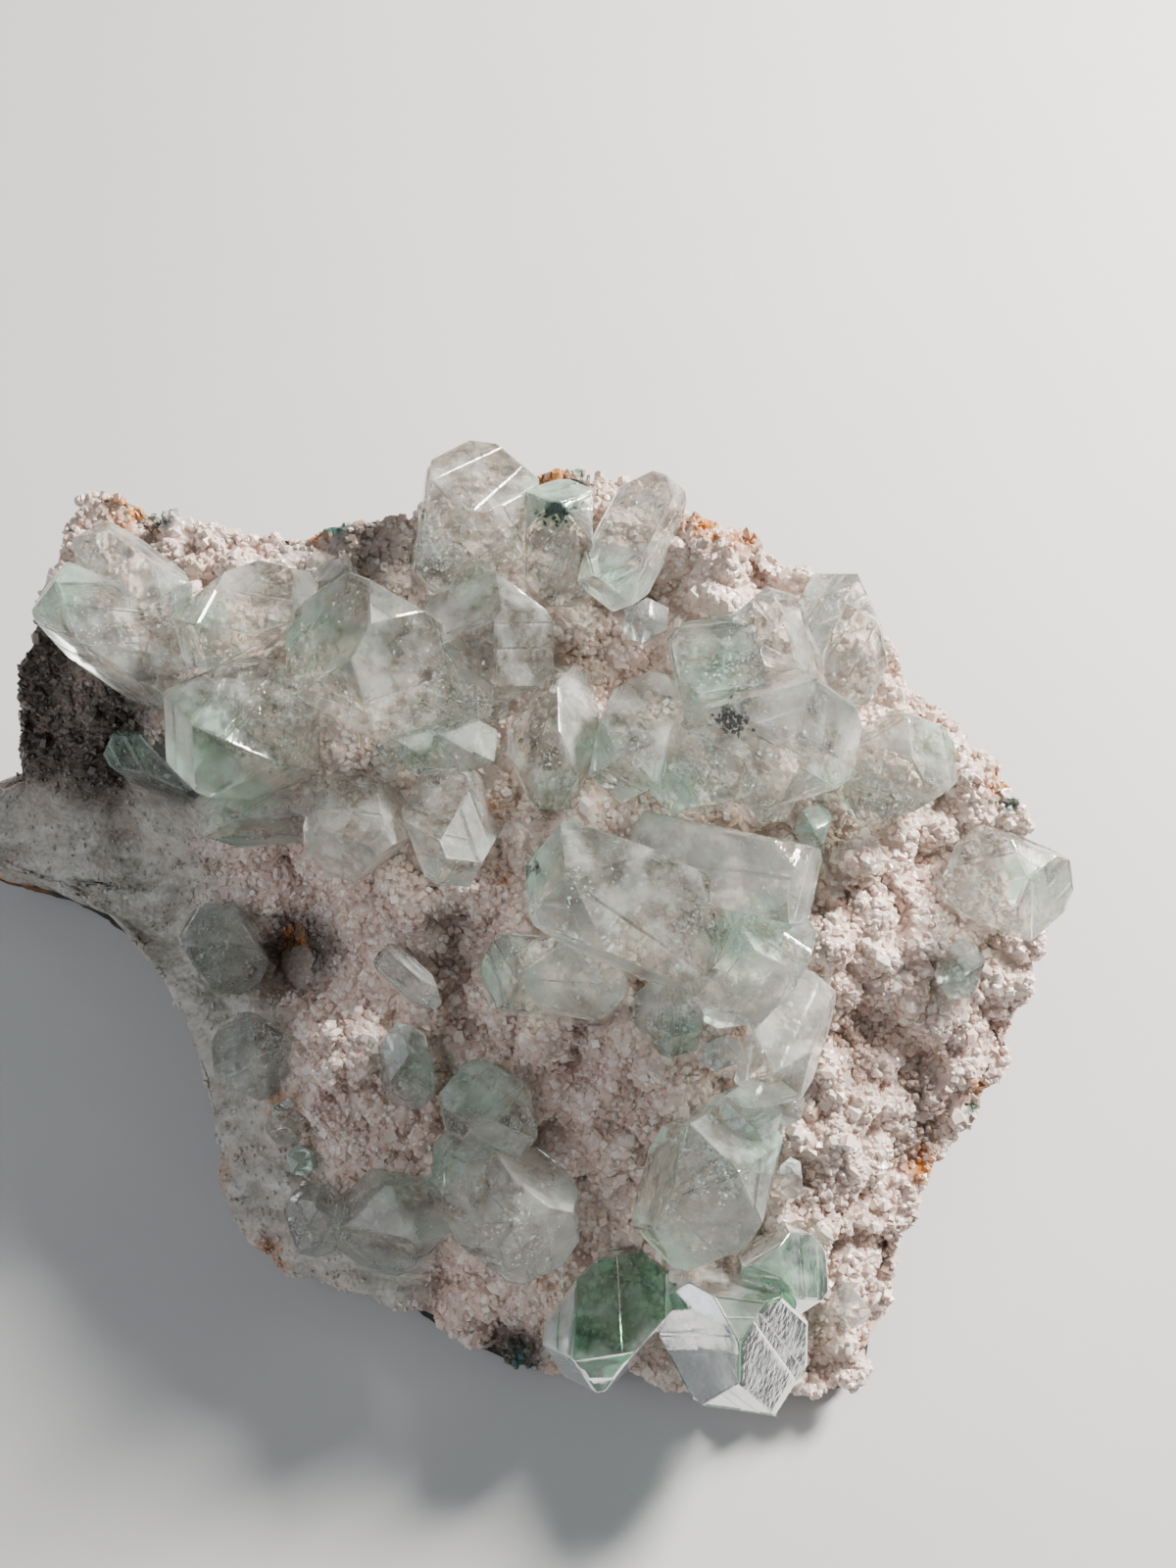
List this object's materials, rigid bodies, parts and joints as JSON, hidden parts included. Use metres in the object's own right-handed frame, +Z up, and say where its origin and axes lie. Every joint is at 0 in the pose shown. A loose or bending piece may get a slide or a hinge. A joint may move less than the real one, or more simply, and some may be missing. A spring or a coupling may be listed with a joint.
{
  "type": "apophyllite cluster",
  "caption": "Apophyllite cluster: blocky, pale green crystals on a lumpy pink druse crust over dark basalt, lying on a flat foot.",
  "frame": {"origin": "on the resting plane, under the middle of the specimen's bounding box", "axes": "+Z up from the resting plane, +X to the right and +Y to the back, seen from the front, where the display side slopes down"},
  "size_m": [0.15, 0.1067, 0.0705],
  "materials": {
    "pale_green_crystal": "clear to hazy, glassy faces, greener towards the ends",
    "pink_druse": "sugary, sparkling grains",
    "dark_basalt": "rough and matte, with orange and teal weathering"
  },
  "bodies": {
    "root": {"basalt_base": "dark_basalt", "druse_crust": "pink_druse", "upper_left_crystals": "pale_green_crystal", "left_crystals": "pale_green_crystal", "ledge_crystal": "pale_green_crystal", "shaded_crystal": "pale_green_crystal", "top_crystals": "pale_green_crystal", "nook_crystal": "pale_green_crystal", "saddle_crystal": "pale_green_crystal", "right_crystals": "pale_green_crystal", "chip_crystal": "pale_green_crystal", "fan_crystal": "pale_green_crystal", "edge_crystal": "pale_green_crystal", "lower_edge_crystal": "pale_green_crystal", "middle_crystals": "pale_green_crystal", "stub_crystal": "pale_green_crystal", "splinter_crystal": "pale_green_crystal", "hollow_crystal": "pale_green_crystal", "lower_middle_crystals": "pale_green_crystal", "lower_right_crystals": "pale_green_crystal", "spur_crystal": "pale_green_crystal", "slip_crystal": "pale_green_crystal", "foot_crystals": "pale_green_crystal", "low_chip_crystal": "pale_green_crystal", "left_rim_crystal": "pale_green_crystal", "arm_crystal": "pale_green_crystal", "white_chip": "pale_green_crystal", "bead_crystal": "pale_green_crystal", "lower_left_crystals": "pale_green_crystal"}
  },
  "joints": []
}
